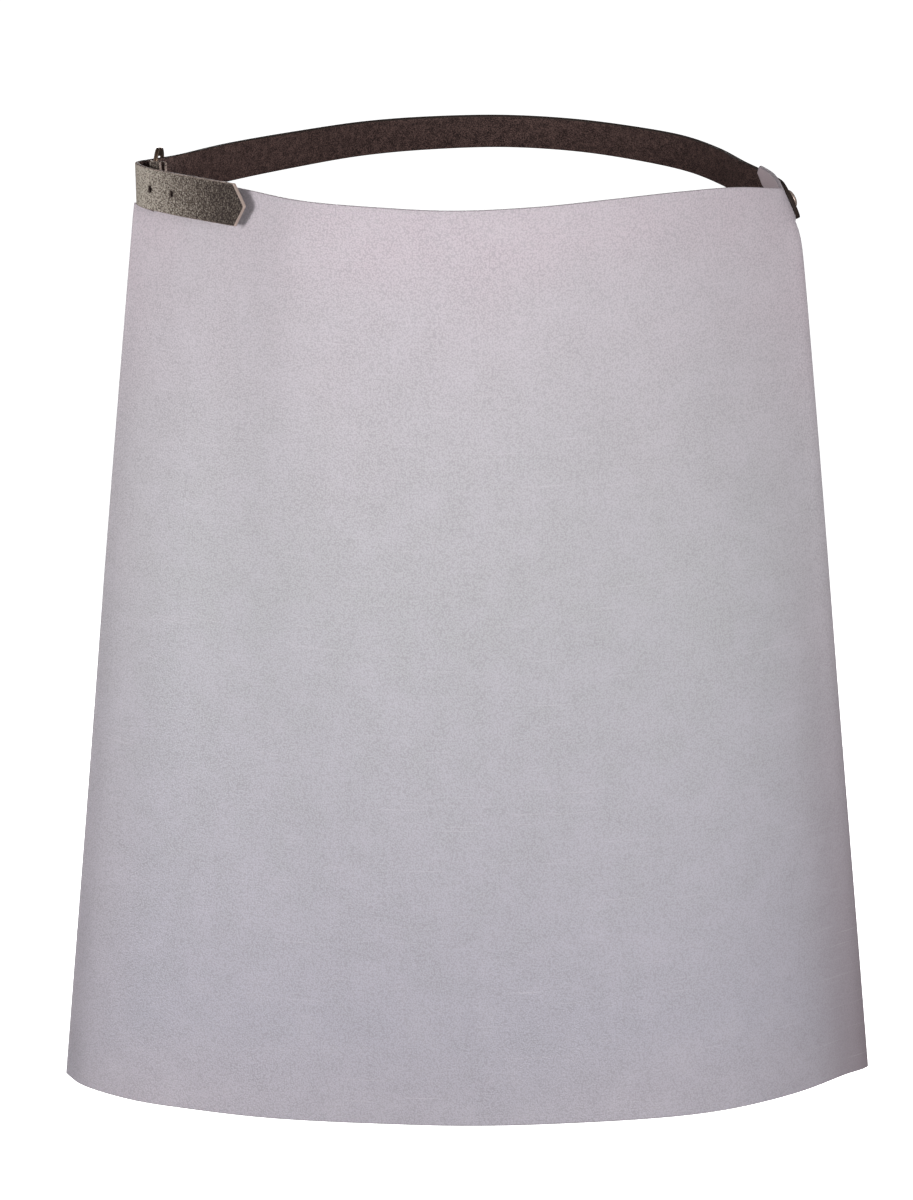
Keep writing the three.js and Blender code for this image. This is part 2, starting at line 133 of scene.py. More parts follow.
class BentLeather:
    """Leather bent along straight lines. A place on it: mm along its upper edge, mm down a line, mm out."""

    STEP = 0.05
    PARTS = 1000

    def __init__(self, upper, lower, pulls=None):
        self.upper, self.lower = np.array(upper, float), np.array(lower, float)
        pulls = np.zeros(len(upper)) if pulls is None else pulls
        self.pulls = np.stack([np.arange(len(upper)), pulls, np.zeros(len(upper))], axis=1)
        self.share = np.linspace(0, 1, self.PARTS + 1)
        chords = np.diff(smooth_curve(self.upper, self.share), axis=0)
        self.run = np.concatenate([[0], np.cumsum(np.linalg.norm(chords, axis=1))])
        self.length = self.run[-1]

    def reach(self, ruling):
        return self.run[round(self.PARTS * ruling / (len(self.upper) - 1))]

    def line(self, along):
        share = np.interp(np.clip(along, self.STEP, self.length - self.STEP), self.run, self.share)
        return share, smooth_curve(self.upper, share), smooth_curve(self.lower, share)

    def drop(self, along):
        _, top, end = self.line(along)
        return np.linalg.norm(end - top, axis=1)

    def ruled(self, along, down):
        _, top, end = self.line(along)
        return top + unit(end - top) * down[:, None]

    def normal(self, surface, along, down):
        inside = np.clip(along, 2 * self.STEP, self.length - 2 * self.STEP)
        across = surface(inside + self.STEP, down) - surface(inside - self.STEP, down)
        drawn = surface(inside, down + self.STEP) - surface(inside, down - self.STEP)
        return unit(np.cross(drawn, across))

    def pulled(self, along, down):
        share, _, _ = self.line(along)
        left = 1 - down / PULL_FADE
        inward = smooth_curve(self.pulls, share)[:, 1] * (left + np.hypot(left, PULL_EASE)) / 2
        return self.ruled(along, down) - self.normal(self.ruled, along, down) * inward[:, None]

    def out(self, along, down):
        along, down = (np.atleast_1d(x).astype(float) for x in np.broadcast_arrays(along, down))
        return self.normal(self.pulled, along, down)

    def at(self, along, down, outward=0):
        along, down = (np.atleast_1d(x).astype(float) for x in np.broadcast_arrays(along, down))
        return self.pulled(along, down) + self.out(along, down) * np.reshape(outward, (-1, 1))


def spaced(keys, step):
    """Places from the first key to the last: the keys, a support line beside each, and even steps between."""
    places = [keys[0]]
    for start, end in zip(keys, keys[1:]):
        support = min(SUPPORT, (end - start) / 3)
        count = max(2, round((end - start - 2 * support) / step) + 1)
        places.extend([*np.linspace(start + support, end - support, count), end])
    return np.array(places)


def cut_sheet(name, leather, along, down, present, thickness, by_run, lift=None):
    """Leather over the present cells of a grid of places: two faces and rounded cut edges, as a mesh object.

    leather_side is 1 on its outer face and -1 on its inner one, cut_edge is 1 on its rim, and edge_mm is the
    distance to the rim. by_run names further values that change along the piece, each with its places and the
    values there."""
    along = np.broadcast_to(np.reshape(along, (-1, 1)), down.shape)
    middle = leather.at(along.ravel(), down.ravel(), 0 if lift is None else lift.ravel())
    out = leather.out(along.ravel(), down.ravel())
    number = np.arange(down.size).reshape(down.shape)
    corners = (number[:-1, :-1], number[:-1, 1:], number[1:, 1:], number[1:, :-1])
    cells = np.stack(corners, axis=-1)[present]
    edges = np.concatenate([cells[:, [k, (k + 1) % 4]] for k in range(4)])
    forward, backward = edges @ (down.size, 1), edges @ (1, down.size)
    rim = edges[~np.isin(backward, forward)]

    away = np.zeros_like(middle)
    across = unit(np.cross(middle[rim[:, 1]] - middle[rim[:, 0]], out[rim[:, 0]]))
    room = np.full(down.size, np.inf)
    long = np.linalg.norm(middle[edges[:, 1]] - middle[edges[:, 0]], axis=1)
    for end in range(2):
        np.add.at(away, rim[:, end], across)
        np.minimum.at(room, edges[:, end], long)
    used, edge = np.unique(cells), np.unique(rim)
    away[edge] *= 2 / (away[edge] ** 2).sum(1, keepdims=True)
    rounding = np.minimum(CUT_ROUNDING, ROUNDING_ROOM * room)

    turn = np.linspace(0, math.pi / 2, ROUND_STEPS + 1)
    arc = [(1 - math.sin(a), 1 - math.cos(a)) for a in turn]
    profile = [(inset, fall, 1) for inset, fall in arc] + [(inset, fall, -1) for inset, fall in arc[::-1]]
    tree = KDTree(len(edge))
    for i, place in enumerate(middle[edge]):
        tree.insert(place, i)
    tree.balance()
    from_edge = np.array([tree.find(place)[2] for place in middle[used]])

    def ring(which, inset, fall, face):
        r = np.where(np.isin(which, edge), rounding[which], 0)[:, None]
        return middle[which] - away[which] * r * inset + out[which] * face * (thickness / 2 - r * fall)

    places = [ring(used, *profile[0]), ring(used, *profile[-1])]
    places += [ring(edge, *step) for step in profile[1:-1]]
    index = np.zeros((len(profile), down.size), int)
    index[0, used] = np.arange(len(used))
    index[-1, used] = len(used) + np.arange(len(used))
    for k in range(1, len(profile) - 1):
        index[k, edge] = 2 * len(used) + (k - 1) * len(edge) + np.arange(len(edge))
    faces = [index[0][cells], index[-1][cells][:, ::-1]]
    start, end = rim.T
    for upper, lower in zip(index, index[1:]):
        faces.append(np.stack([upper[end], upper[start], lower[start], lower[end]], axis=1))

    mesh = bpy.data.meshes.new(name)
    mesh.from_pydata((np.concatenate(places) * MM).tolist(), [], np.concatenate(faces).tolist())
    mesh.shade_smooth()
    middle_rings = [np.full(len(edge), step[2]) for step in profile[1:-1]]
    values = {
        "leather_side": np.concatenate([np.ones(len(used)), -np.ones(len(used)), *middle_rings]),
        "cut_edge": np.concatenate([np.zeros(2 * len(used)), np.ones(len(edge) * len(middle_rings))]),
        "edge_mm": np.concatenate([from_edge, from_edge, np.zeros(len(edge) * len(middle_rings))]),
    }
    spots = along.ravel()[np.concatenate([used, used, *[edge] * len(middle_rings)])]
    for key, (runs, amounts) in by_run.items():
        values[key] = np.interp(spots, runs, amounts)
    for key, value in values.items():
        mesh.attributes.new(key, "FLOAT", "POINT").data.foreach_set("value", value.astype(np.float32))
    return add_object(name, mesh)


def linear(hex_colour):
    """A shader colour from an sRGB hex value."""
    parts = [int(hex_colour[i : i + 2], 16) / 255 for i in (1, 3, 5)]
    return [c / 12.92 if c <= 0.04045 else ((c + 0.055) / 1.055) ** 2.4 for c in parts] + [1]


def node(tree, kind, inputs=None, **settings):
    """Adds a node with its settings, and gives each named input a value or a link from another socket."""
    made = tree.nodes.new(kind)
    for key, value in settings.items():
        setattr(made, key, value)
    for key, value in (inputs or {}).items():
        if isinstance(value, bpy.types.NodeSocket):
            tree.links.new(value, made.inputs[key])
        else:
            made.inputs[key].default_value = value
    return made


def new_material(name):
    """An empty node material, and its tree."""
    material = bpy.data.materials.new(name)
    material.use_nodes = True
    material.node_tree.nodes.clear()
    return material, material.node_tree


def per_metre(size_mm):
    """A pattern's scale, from its real size."""
    return 1 / (size_mm * MM)


# Chrome leather with a milled pebble grain, dull and slightly waxy, so that it takes broad soft highlights.
# The real pebbles are about 0.7 mm; they are drawn 1 mm wide so that they show. The back is brushed flesh.
PEBBLE = 1.0
CREASE = 0.8
CLOUD = 150
MOTTLE = 22
GRAIN_PINK = "#bdb2b9"
GRAIN_GREY = "#b1b0b4"
GRAIN_LILAC = "#b0adb8"
GRAIN_CREASE_SHADE = "#8f898f"
GRAIN_RUB = "#cdc8cd"
GRAIN_EDGE_SHADE = "#857a80"
FLESH = "#cdbfc3"
FLESH_DARK = "#b3a5a9"
PANEL_CUT = "#948b90"
PINKNESS = 1.8
EDGE_BAND = 60.0
FRAY = 2.0
SCUFF_WIDTH = 0.9
SCUFF_LENGTH = 60
SCUFF_TURNS = (0.5, 1.4, 2.6)
# heights, in metres, over which it turns pinker, more lilac and darker with the painted shade at its right
# edge
PINK_FROM, PINK_TO = -0.26, 0.02
LILAC_FROM, LILAC_TO = -0.22, -0.5
EDGE_SHADE_FROM, EDGE_SHADE_TO = -0.2, -0.55
panel_material, tree = new_material("pale_grey_milled_leather")
place = node(tree, "ShaderNodeTexCoord").outputs["Object"]
height = node(tree, "ShaderNodeSeparateXYZ", {0: place}).outputs["Z"]
side, cut, from_edge, soiled = (
    node(tree, "ShaderNodeAttribute", attribute_name=key).outputs["Fac"]
    for key in ("leather_side", "cut_edge", "edge_mm", "soiled")
)
cloud, mottle, crease = (
    node(
        tree,
        "ShaderNodeTexNoise",
        {"Vector": place, "Scale": per_metre(size), "Detail": detail, "Roughness": rough},
    ).outputs["Fac"]
    for size, detail, rough in ((CLOUD, 3.0, 0.55), (MOTTLE, 4.0, 0.6), (CREASE, 2.0, 0.6))
)
pebble = node(tree, "ShaderNodeTexVoronoi", {"Vector": place, "Scale": per_metre(PEBBLE)}).outputs["Distance"]
raised = node(tree, "ShaderNodeMath", {0: crease, 1: pebble}, operation="SUBTRACT").outputs[0]

near_top = node(
    tree,
    "ShaderNodeMapRange",
    {0: height, 1: PINK_FROM, 2: PINK_TO, 3: 0.0, 4: 0.75},
    interpolation_type="SMOOTHSTEP",
).outputs[0]
# Of each: what it reads, between which two values it changes, and what it is there
near_edge, lowness, patch, painted_crease_shade, rubbed, shade_towards_hem, frayed, outer = (
    node(tree, "ShaderNodeMapRange", dict(enumerate(row))).outputs[0]
    for row in (
        (from_edge, 0.0, EDGE_BAND, 0.4, 0.0),
        (height, LILAC_FROM, LILAC_TO, -0.1, 0.8),
        (mottle, 0.35, 0.65, 0.0, 0.35),
        (raised, 0.2, -0.25, 0.0, 0.5),
        (mottle, 0.4, 0.75, 0.0, 0.16),
        (height, EDGE_SHADE_FROM, EDGE_SHADE_TO, 0.1, 0.95),
        (from_edge, 0.0, FRAY, 0.2, 0.0),
        (side, -0.1, 0.1, 0.0, 1.0),
    )
)
pinkness = node(tree, "ShaderNodeMath", {0: near_top, 1: near_edge}, operation="ADD").outputs[0]
pinkness = node(tree, "ShaderNodeMath", {0: pinkness, 1: cloud}, operation="MULTIPLY").outputs[0]
pinkness = node(
    tree, "ShaderNodeMath", {0: pinkness, 1: PINKNESS}, operation="MULTIPLY", use_clamp=True
).outputs[0]
lowness = node(tree, "ShaderNodeMath", {0: lowness, 1: patch}, operation="ADD", use_clamp=True).outputs[0]

# Painted shade: the right side edge is painted darker, more and more towards the hem, where the panel curves
# away from the light
soiled = node(tree, "ShaderNodeMath", {0: soiled, 1: shade_towards_hem}, operation="MULTIPLY").outputs[0]
# The hollows between the pebbles are painted darker, as painted shade
layers = [
    (lowness, GRAIN_LILAC),
    (pinkness, GRAIN_PINK),
    (painted_crease_shade, GRAIN_CREASE_SHADE),
    (rubbed, GRAIN_RUB),
    (soiled, GRAIN_EDGE_SHADE),
]

# Fine pale scuffs, long and thin, in three directions
for turn in SCUFF_TURNS:
    turned = node(
        tree,
        "ShaderNodeMapping",
        {
            "Vector": place,
            "Rotation": (0.0, turn, 0.0),
            "Scale": (per_metre(SCUFF_LENGTH), per_metre(SCUFF_LENGTH), per_metre(SCUFF_WIDTH)),
        },
    ).outputs[0]
    streak = node(tree, "ShaderNodeTexNoise", {"Vector": turned, "Scale": 1.0, "Detail": 1.0}).outputs["Fac"]
    streak = node(tree, "ShaderNodeMapRange", {0: streak, 1: 0.72, 2: 0.8, 3: 0.0, 4: 0.3}).outputs[0]
    layers.append((streak, GRAIN_RUB))
grain = linear(GRAIN_GREY)
for share, hue in layers:
    grain = node(tree, "ShaderNodeMix", {0: share, 6: grain, 7: linear(hue)}, data_type="RGBA").outputs[2]

flesh = node(
    tree, "ShaderNodeMix", {0: crease, 6: linear(FLESH), 7: linear(FLESH_DARK)}, data_type="RGBA"
).outputs[2]
colour = node(tree, "ShaderNodeMix", {0: outer, 6: flesh, 7: grain}, data_type="RGBA").outputs[2]
frayed = node(tree, "ShaderNodeMath", {0: frayed, 1: mottle}, operation="MULTIPLY").outputs[0]
frayed = node(tree, "ShaderNodeMath", {0: frayed, 1: cut}, operation="MAXIMUM").outputs[0]
colour = node(tree, "ShaderNodeMix", {0: frayed, 6: colour, 7: linear(PANEL_CUT)}, data_type="RGBA").outputs[2]
gloss = node(tree, "ShaderNodeMapRange", {0: outer, 1: 0.0, 2: 1.0, 3: 0.9, 4: 0.56}).outputs[0]
gloss = node(tree, "ShaderNodeMath", {0: mottle, 1: 0.16, 2: gloss}, operation="MULTIPLY_ADD").outputs[0]
bump = node(tree, "ShaderNodeBump", {"Height": raised, "Strength": 0.4, "Distance": 0.35 * MM}).outputs[0]
surface = node(
    tree,
    "ShaderNodeBsdfPrincipled",
    {"Base Color": colour, "Roughness": gloss, "Normal": bump, "IOR": 1.48, "Sheen Weight": 0.08},
).outputs[0]
node(tree, "ShaderNodeOutputMaterial", {"Surface": surface})

panel_leather = BentLeather(
    PANEL_RULINGS[:, :3],
    np.stack([PANEL_RULINGS[:, 3], PANEL_RULINGS[:, 4], np.full(len(PANEL_RULINGS), HEM_LEVEL)], axis=1),
    PANEL_RULINGS[:, 5],
)
side_edge = panel_leather.reach(SIDE_EDGE_RULING)
notch_end = HEEL_ALONG + PRONG_EYE_RADIUS + GAP
PANEL_STEP, EAR_STEP, SKIRT_STEP = 2.9, 2.2, 4.0
clip_start = panel_leather.length - EAR_CLIP_LENGTH
along = spaced([0, notch_end, side_edge, clip_start, panel_leather.length], PANEL_STEP)
clip = EAR_CLIP_DEPTH * np.clip(1 - (panel_leather.length - along) / EAR_CLIP_LENGTH, 0, 1)
shoulder = np.interp(along, [0, notch_end], [SHOULDER_AT_CORNER, SHOULDER_AT_CHAPE])
ear_share = spaced([0, EAR_DEPTH], EAR_STEP) / EAR_DEPTH
skirt_share = spaced([0, -HEM_LEVEL], SKIRT_STEP) / -HEM_LEVEL
levels = np.concatenate(
    [
        clip[:, None] + (EAR_DEPTH - 2 * clip)[:, None] * ear_share,
        shoulder[:, None] + (panel_leather.drop(along) - shoulder)[:, None] * skirt_share,
    ],
    axis=1,
)
from_left = (along[:-1] + along[1:])[:, None] / 2
row = np.arange(levels.shape[1] - 1)
in_notch = (from_left < notch_end) & (row < len(ear_share))
in_ear = (from_left > side_edge) & (row >= len(ear_share) - 1)

# How far from the right side edge the painted shade reaches, and how dark it is there
SHADE_FROM_EDGE = (85, 40, 12, 0)
SHADE_SHARE = (0, 0.16, 0.75, 1)

# Slow waves of a hide that has hung on a hook, none where the strap holds it: the share of each,
# its turning along the panel and down it in radians per 100 mm, and its start
WAVES = ((1, 2.9, 0.7, 0), (0.6, 5.3, -1.1, 2))
WAVE = 0.9
WAVE_FREE = (40, 320)
free = np.clip((levels - WAVE_FREE[0]) / (WAVE_FREE[1] - WAVE_FREE[0]), 0, 1)
over, fallen = along[:, None] / 100, levels / 100
waves = sum(share * np.sin(across * over + fall * fallen + start) for share, across, fall, start in WAVES)
apron_panel = cut_sheet(
    "apron_panel_leather",
    panel_leather,
    along,
    levels,
    ~(in_notch | in_ear),
    PANEL_THICKNESS,
    {"soiled": (side_edge - np.array(SHADE_FROM_EDGE), SHADE_SHARE)},
    WAVE * free * waves,
)
apron_panel.data.materials.append(panel_material)
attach(apron_panel, "root")
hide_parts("apron_panel")

# Waist strap
# One strap of thick harness leather, dyed dark, finished side inward and rough flesh side out. It is riveted
# on the panel's right ear, goes round the back and through the buckle, and its pointed end lies on the panel.
# Its holes are punched ovals, and its knife-cut edges show the undyed core.
STRAP_WIDTH = 25
STRAP_THICKNESS = 2.5
STRAP_END = 14
EAR_GAP = 0.6
STRAP_BELOW_EAR_TOP = (6.2, 6.6)
FREE_END = 81
POINT_LENGTH = 7.5
POINT_FLAT = 0.04
STRAP_RISE = 0.054
STRAP_SLANT = 0.26
STRAP_BEHIND = (24.2, 11)
STRAP_BEFORE_TURN = -2.7
WRAP_REACH = 11.5
HOLE_HALF = (1.2, 1.9)
HOLES_FROM_HEEL = (23.2, 5.4)
CHAPE_THICKNESS = 2
CHAPE_WIDTH = 22
RIVET_SHANK = 1.5
STRAP_RIVET_ALONG = 11
BAR = 2.5
FRAME_LENGTH = 22
OUTER_BAR_ALONG = -12.4
PRONG_RADIUS = 1.1
PRONG_OVERHANG = 2.5

# run and up: distance beyond the heel bar, and height of the strap's middle over the chape's
FREE_END_ROWS = ((0, -5.2), (25, -6.7), (55, -7.6), (FREE_END, -8.2))

# x, y and z of the strap's middle line round the back, right to left, and its top's inward lean in degrees
STRAP_BACK = (
    (176.8, 82, -4.6, 11),
    (163, 115, -0.4, 14),
    (143, 145, 3.5, 18),
    (113, 171, 6.2, 23),
    (73, 191, 9, 27),
    (27, 196, 11, 28),
    (-22, 181, 11.9, 26),
    (-65, 155, 12, 23),
    (-107, 114, 11, 18),
    (-150, 63, 9.6, 11),
)

# The buckle's own frame: its origin on the heel bar, its axes along the panel, out of it and up
heel = panel_leather.at(HEEL_ALONG, HEEL_DOWN)[0]
ahead = unit((panel_leather.at(HEEL_ALONG + FREE_END / 2, HEEL_DOWN)[0] - heel) * (1, 1, 0))
outward = panel_leather.out(HEEL_ALONG, HEEL_DOWN)[0]
outward = unit(outward - ahead * outward.dot(ahead))
upward = np.cross(outward, ahead)


def at_buckle(along, out, up):
    return heel + along * ahead + out * outward + up * upward


lean = math.asin(outward[2])
stand_off = (PANEL_THICKNESS + STRAP_THICKNESS) / 2 + CHAPE_THICKNESS + 3 * GAP
stand_off += CHAPE_WIDTH / 2 * math.sin(lean)
half_strap = STRAP_WIDTH / 2
half_upright = np.array([0, 0, half_strap])
rulings = []
strap_off_ear = PANEL_THICKNESS / 2 + EAR_GAP + STRAP_THICKNESS / 2
ON_EAR_STEPS = 8
for i in range(ON_EAR_STEPS + 1):
    on_ear = np.interp(i / ON_EAR_STEPS, [0, 1], [side_edge + STRAP_END, panel_leather.length])
    below = np.interp(i / ON_EAR_STEPS, [0, 1], STRAP_BELOW_EAR_TOP)
    upper = panel_leather.at(on_ear, below, strap_off_ear)[0]
    drawn = unit(panel_leather.at(on_ear, EAR_DEPTH, strap_off_ear)[0] - upper)
    rulings.append((upper, upper + drawn * STRAP_WIDTH))
for x, y, z, tilt in STRAP_BACK:
    inward, middle = unit(np.array([-x, -y, 0])), np.array([x, y, z])
    half = inward * math.sin(math.radians(tilt)) + np.array([0, 0, math.cos(math.radians(tilt))])
    rulings.append((middle + half * half_strap, middle - half * half_strap))
inward = -unit(outward * (1, 1, 0))
middles = []
for run in STRAP_BEHIND:
    middle = at_buckle(STRAP_SLANT * run - WRAP_REACH, 0, STRAP_BEFORE_TURN) + inward * run
    middle[2] += STRAP_RISE * run
    middles.append(middle)
WRAP_STEPS = 5
for i in range(WRAP_STEPS):
    turn = i / WRAP_STEPS * math.pi / 2
    up = np.interp(i / WRAP_STEPS, [0, 1], [STRAP_BEFORE_TURN, FREE_END_ROWS[0][1]])
    middles.append(at_buckle(-WRAP_REACH * math.cos(turn), stand_off * math.sin(turn), up))
middles += [at_buckle(run, stand_off, up) for run, up in FREE_END_ROWS]
rulings += [(middle + half_upright, middle - half_upright) for middle in middles]
strap_leather = BentLeather([upper for upper, _ in rulings], [lower for _, lower in rulings])
heel_on_strap = strap_leather.length - FREE_END
point_start = strap_leather.length - POINT_LENGTH


def new_tree(name, inputs):
    """An empty geometry tree with inputs of the given kinds, and the sockets that hand them on."""
    tree = bpy.data.node_groups.new(name, "GeometryNodeTree")
    for key, kind in inputs.items():
        tree.interface.new_socket(key, in_out="INPUT", socket_type="NodeSocket" + kind)
    tree.interface.new_socket("Made", in_out="OUTPUT", socket_type="NodeSocketGeometry")
    return tree, node(tree, "NodeGroupInput").outputs


def end_tree(tree, geometry, material):
    """Ends a tree: all instances are made real, and all faces get the material."""
    whole = node(tree, "GeometryNodeRealizeInstances", {0: geometry}).outputs[0]
    dressed = node(tree, "GeometryNodeSetMaterial", {"Geometry": whole, "Material": material}).outputs[0]
    node(tree, "NodeGroupOutput", {0: dressed})


# Punched holes: a tree that drives a row of oval punches through a piece of leather
punching, given = new_tree(
    "punched_holes",
    {"Leather": "Geometry", "Punches": "Object", "Punch sides": "Int", "Material": "Material"},
)
seats = node(punching, "GeometryNodeObjectInfo", {"Object": given["Punches"]}).outputs["Geometry"]
turned, half_size = (
    node(
        punching, "GeometryNodeInputNamedAttribute", {"Name": name}, data_type="FLOAT_VECTOR"
    ).outputs["Attribute"]
    for name in ("punch_turn", "punch_half")
)
punch = node(
    punching, "GeometryNodeMeshCylinder", {"Vertices": given["Punch sides"], "Radius": 1.0, "Depth": 2.0}
).outputs["Mesh"]
set_out = node(
    punching,
    "GeometryNodeInstanceOnPoints",
    {"Points": seats, "Instance": punch, "Rotation": turned, "Scale": half_size},
).outputs[0]
cut_out = node(punching, "GeometryNodeRealizeInstances", {0: set_out}).outputs[0]
holed = node(
    punching, "GeometryNodeMeshBoolean", {"Mesh 1": given["Leather"], "Mesh 2": cut_out}
).outputs["Mesh"]
end_tree(punching, holed, given["Material"])
PUNCH_SIDES = 28
SHARP = math.radians(36)


def through_tree(piece, group, values):
    """Runs a piece through a tree with the given values, and leaves it a plain mesh with no modifier."""
    modifier = piece.modifiers.new(group.name, "NODES")
    modifier.node_group = group
    for item in group.interface.items_tree:
        if item.in_out == "INPUT" and item.name in values:
            modifier[item.identifier] = values[item.name]
    bpy.context.view_layer.update()
    evaluated = piece.evaluated_get(bpy.context.evaluated_depsgraph_get())
    mesh = bpy.data.meshes.new_from_object(evaluated)
    piece.modifiers.clear()
    piece.data = mesh
    mesh.name = piece.name
    mesh.set_sharp_from_angle(angle=SHARP)


def punch_holes(piece, holes, material):
    """Punches holes in a piece of leather. A hole: its middle, axis, what its width runs along, half sizes."""
    points = bpy.data.meshes.new("punches")
    points.from_pydata([(np.array(middle) * MM).tolist() for middle, _, _, _ in holes], [], [])
    turns, halves = [], []
    for _, axis, wide, half in holes:
        z = unit(np.array(axis, float))
        x = unit(wide - z * z.dot(wide))
        turns.extend(Matrix(np.stack([x, np.cross(z, x), z], axis=1).tolist()).to_euler())
        halves.extend(np.array(half) * MM)
    points.attributes.new("punch_turn", "FLOAT_VECTOR", "POINT").data.foreach_set("vector", turns)
    points.attributes.new("punch_half", "FLOAT_VECTOR", "POINT").data.foreach_set("vector", halves)
    punches = add_object("punches", points)
    through_tree(piece, punching, {"Punches": punches, "Punch sides": PUNCH_SIDES, "Material": material})
    bpy.data.objects.remove(punches)


# Vegetable-tanned harness leather: the outer face is coarse flesh with grey fibre tufts standing in dark dye,
# the inner face is dyed smooth and nearly black, and the cut edges are the pale undyed core, smeared with dye.
# The tufts are about 0.8 mm; they are drawn 0.95 mm wide so that they show.
TUFT = 0.95
SPECK = 0.8
STAIN = 5
TUFT_PALE = "#9a9289"
TUFT_MID = "#625850"
TUFT_DARK = "#2c2422"
TUFT_RUBBED = "#aba398"
DYED = "#1f1312"
DYED_WORN = "#5e4a45"
CORE = "#ab9990"
CORE_STAINED = "#2e2420"
strap_material, tree = new_material("dark_harness_leather")
place = node(tree, "ShaderNodeTexCoord").outputs["Object"]
side, cut, rubbed, stained = (
    node(tree, "ShaderNodeAttribute", attribute_name=key).outputs["Fac"]
    for key in ("leather_side", "cut_edge", "rubbed", "stained")
)
tuft, speck, stain = (
    node(
        tree,
        "ShaderNodeTexNoise",
        {"Vector": place, "Scale": per_metre(size), "Detail": detail, "Roughness": rough},
    ).outputs["Fac"]
    for size, detail, rough in ((TUFT, 3.0, 0.7), (SPECK, 2.0, 0.6), (STAIN, 4.0, 0.6))
)
lifted = node(tree, "ShaderNodeMath", {0: rubbed, 1: 0.22, 2: -0.1}, operation="MULTIPLY_ADD").outputs[0]
lifted = node(tree, "ShaderNodeMath", {0: tuft, 1: lifted}, operation="ADD").outputs[0]
worn = node(tree, "ShaderNodeMix", {0: 0.25, 2: speck, 3: stain}).outputs[0]
smear = node(tree, "ShaderNodeMath", {0: stained, 1: 0.6, 2: tuft}, operation="MULTIPLY_ADD").outputs[0]
dark_share, pale_share, worn, smear, outer = (
    node(tree, "ShaderNodeMapRange", dict(enumerate(row))).outputs[0]
    for row in (
        (lifted, 0.37, 0.51, 1.0, 0.0),
        (lifted, 0.5, 0.65, 0.0, 1.0),
        (worn, 0.42, 0.6, 0.0, 1.0),
        (smear, 0.75, 0.9, 0.0, 1.0),
        (side, -0.1, 0.1, 0.0, 1.0),
    )
)
pale_tuft, rough, dyed, core = (
    node(tree, "ShaderNodeMix", {0: share, 6: linear(first), 7: linear(second)}, data_type="RGBA").outputs[2]
    for share, first, second in (
        (rubbed, TUFT_PALE, TUFT_RUBBED),
        (dark_share, TUFT_MID, TUFT_DARK),
        (worn, DYED, DYED_WORN),
        (smear, CORE, CORE_STAINED),
    )
)
rough = node(tree, "ShaderNodeMix", {0: pale_share, 6: rough, 7: pale_tuft}, data_type="RGBA").outputs[2]
colour = node(tree, "ShaderNodeMix", {0: outer, 6: dyed, 7: rough}, data_type="RGBA").outputs[2]
colour = node(tree, "ShaderNodeMix", {0: cut, 6: colour, 7: core}, data_type="RGBA").outputs[2]
gloss = node(tree, "ShaderNodeMapRange", {0: outer, 1: 0.0, 2: 1.0, 3: 0.7, 4: 0.9}).outputs[0]
relief = node(tree, "ShaderNodeMath", {0: tuft, 1: outer, 2: speck}, operation="MULTIPLY_ADD").outputs[0]
bump = node(tree, "ShaderNodeBump", {"Height": relief, "Strength": 0.6, "Distance": 0.4 * MM}).outputs[0]
surface = node(
    tree,
    "ShaderNodeBsdfPrincipled",
    {"Base Color": colour, "Roughness": gloss, "Normal": bump, "IOR": 1.45, "Specular IOR Level": 0.3},
).outputs[0]
node(tree, "ShaderNodeOutputMaterial", {"Surface": surface})

# It is rubbed pale where it bends at the buckle. Its edges were stained too, but for the free end.
bend = heel_on_strap - WRAP_REACH
RUBBED_ROUND_BEND = (-75, -5, 5, 75)
stain_ends = (bend - 8, bend - 2, point_start - 2, point_start + 1)
STRAP_STEP, ACROSS_STEP, ROUND_END_POINTS = 1.6, 2.0, 14
FIRST_CUT = 0.15  # the rounded riveted end starts with a cut of about 4 mm
round_end = half_strap * (1 - np.cos(np.linspace(0, math.pi / 2, ROUND_END_POINTS)))
straight = spaced([half_strap, point_start, strap_leather.length], STRAP_STEP)
along = np.concatenate([[FIRST_CUT], round_end[2:], straight[1:]])
half_chord = np.sqrt(np.clip(half_strap**2 - np.clip(half_strap - along, 0, None) ** 2, 0, None))
narrowing = np.clip((along - point_start) / POINT_LENGTH, 0, 1) * (1 - POINT_FLAT)
half_width = np.minimum(half_chord, half_strap * (1 - narrowing))
width_share = spaced([0, STRAP_WIDTH], ACROSS_STEP) / STRAP_WIDTH
levels = half_strap + half_width[:, None] * (2 * width_share - 1)
waist_strap = cut_sheet(
    "waist_strap_leather",
    strap_leather,
    along,
    levels,
    np.ones((len(along) - 1, len(width_share) - 1), bool),
    STRAP_THICKNESS,
    {
        "rubbed": (bend + np.array(RUBBED_ROUND_BEND), (0, 1, 1, 0)),
        "stained": (stain_ends, (1, 0.55, 0.5, 0)),
    },
)
prong_rest = BAR / 2 + GAP + PRONG_RADIUS
bar_angle = math.atan2(-math.sqrt(FRAME_LENGTH**2 - OUTER_BAR_ALONG**2), OUTER_BAR_ALONG)
prong_angle = bar_angle - math.asin(prong_rest / FRAME_LENGTH)
prong_reach = FRAME_LENGTH * math.cos(prong_angle - bar_angle) + PRONG_OVERHANG


def prong_at(distance):
    return at_buckle(distance * math.cos(prong_angle), distance * math.sin(prong_angle), 0)


